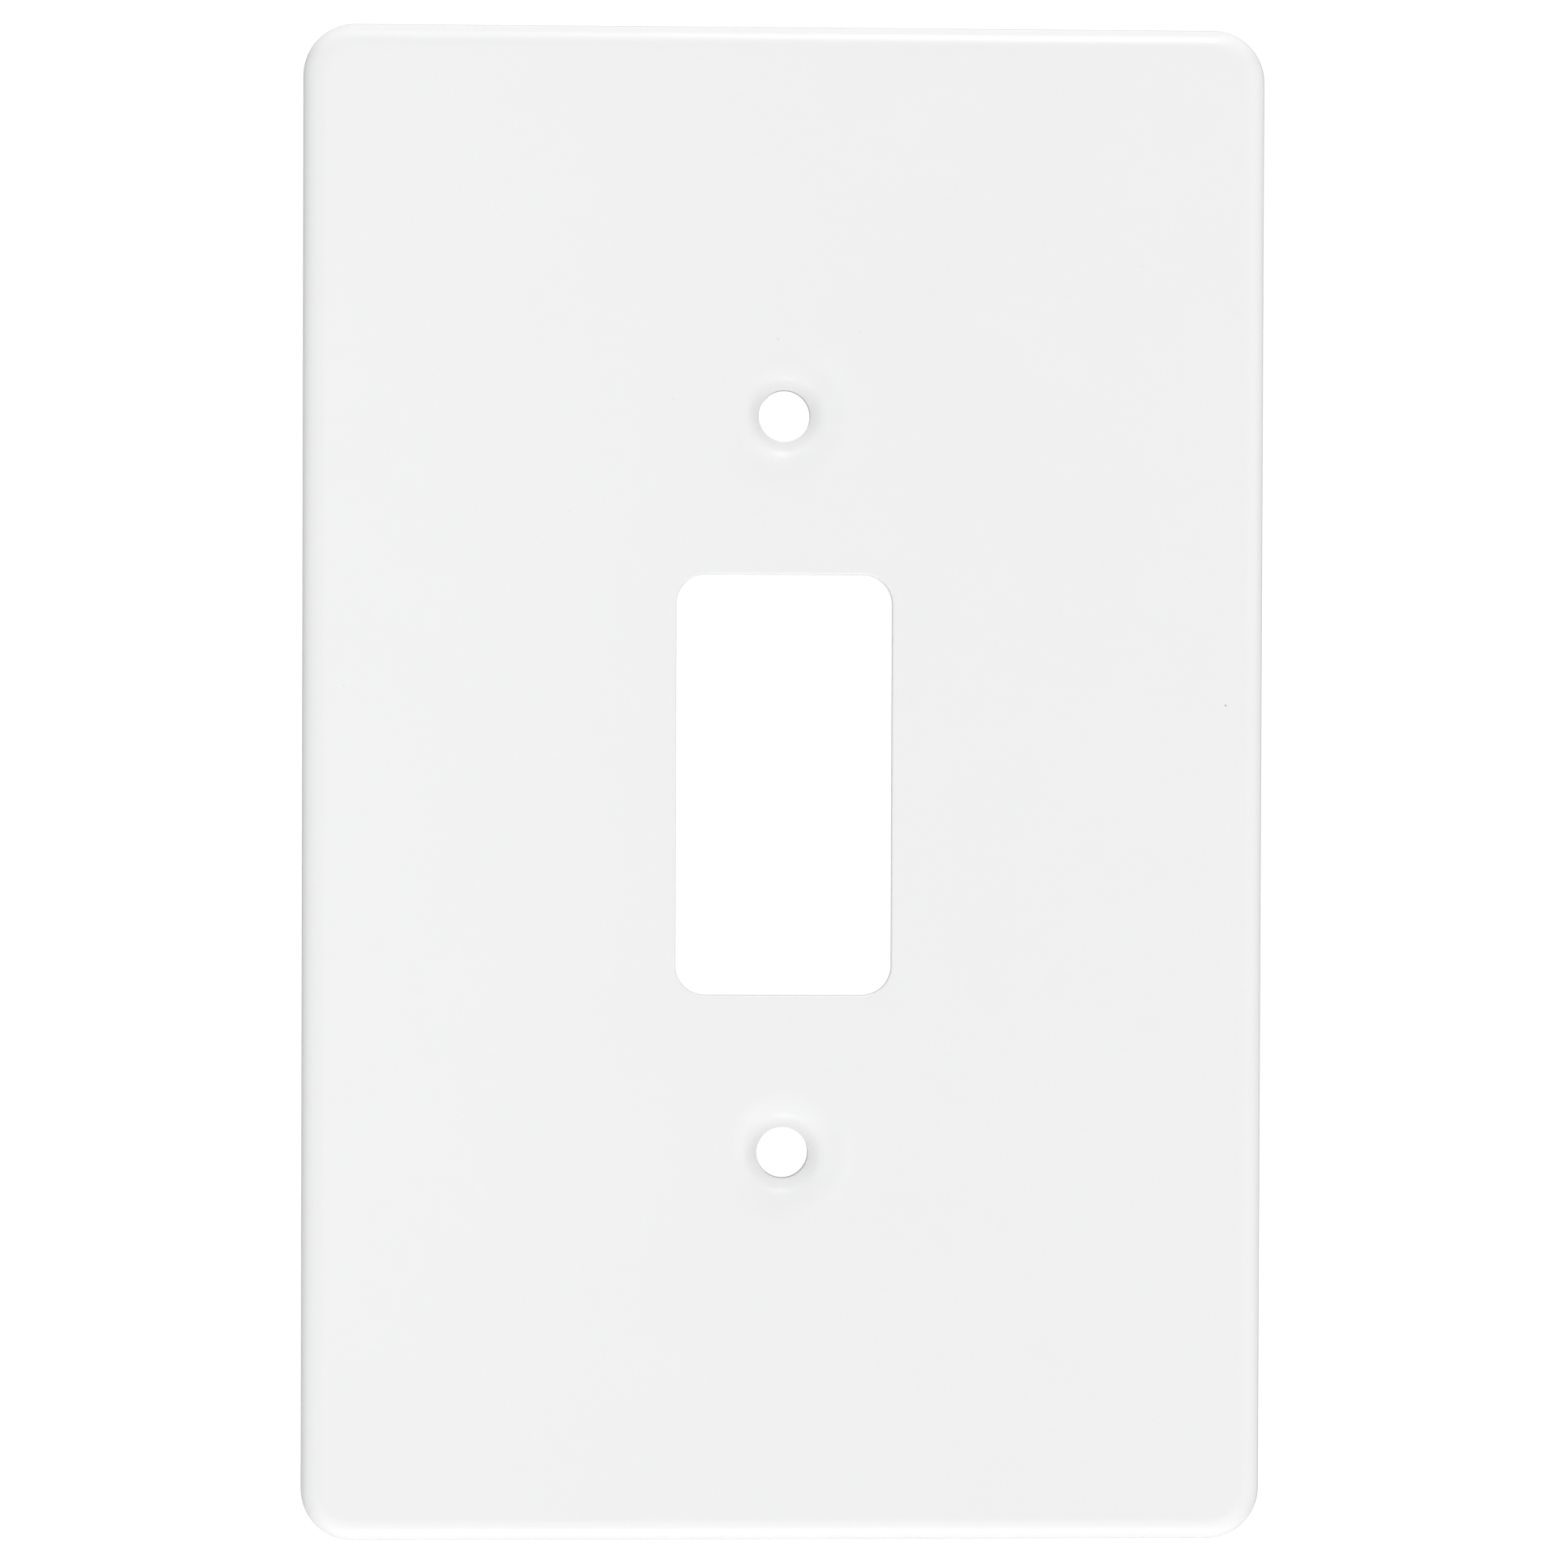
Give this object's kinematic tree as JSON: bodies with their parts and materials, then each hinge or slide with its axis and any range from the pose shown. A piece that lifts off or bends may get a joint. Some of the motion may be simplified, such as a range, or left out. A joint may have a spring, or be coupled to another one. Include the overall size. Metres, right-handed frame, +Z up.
{
  "type": "wall plate cover",
  "caption": "Shallow pressed-steel wall plate, powder coated, with rolled edges, rounded corners, one tall device opening and two dimpled screw holes.",
  "frame": {"origin": "middle of the plate on the wall's plane, where its rear rim lies", "axes": "+Z up, +X to the right of someone facing the plate, +Y into the wall; the front face looks along -Y"},
  "size_m": [0.0786, 0.0055, 0.1238],
  "materials": {
    "powder_coat": "smooth satin white"
  },
  "bodies": {
    "root": {"cover_plate": "powder_coat"}
  },
  "joints": []
}
